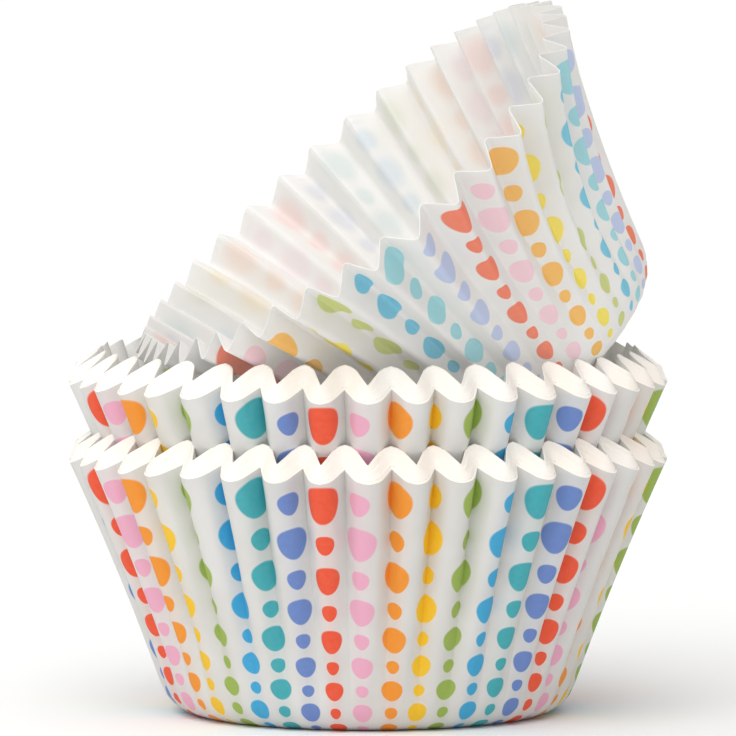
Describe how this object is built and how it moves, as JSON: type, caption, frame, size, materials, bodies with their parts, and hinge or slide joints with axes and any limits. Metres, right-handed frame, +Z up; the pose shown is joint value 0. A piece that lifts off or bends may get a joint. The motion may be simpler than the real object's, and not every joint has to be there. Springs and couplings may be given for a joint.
{
  "type": "stack of cupcake liners",
  "caption": "Pressed nests of pleated paper cupcake liners standing one in the other, with a loose liner tipped into the top, printed with rows of coloured dots.",
  "frame": {"origin": "middle of the flat base that the stack stands on, on the axis of both nests", "axes": "+Z is up along the nests, -Y faces the viewer of the picture, and +X is to the right, where the tipped liner's base lies"},
  "size_m": [0.0782, 0.0847, 0.093],
  "materials": {
    "liner_paper": "thin white baking paper, matt and slightly see-through, printed on the outside with rows of coloured dots"
  },
  "bodies": {
    "root": {"lower_nest_liner_1": "liner_paper", "lower_nest_liner_2": "liner_paper", "lower_nest_liner_3": "liner_paper", "lower_nest_liner_4": "liner_paper", "lower_nest_liner_5": "liner_paper", "lower_nest_liner_6": "liner_paper", "lower_nest_liner_7": "liner_paper", "lower_nest_liner_8": "liner_paper", "upper_nest_liner_1": "liner_paper", "upper_nest_liner_2": "liner_paper", "upper_nest_liner_3": "liner_paper", "upper_nest_liner_4": "liner_paper", "upper_nest_liner_5": "liner_paper", "upper_nest_liner_6": "liner_paper", "upper_nest_liner_7": "liner_paper", "upper_nest_liner_8": "liner_paper", "tipped_liner": "liner_paper"}
  },
  "joints": []
}
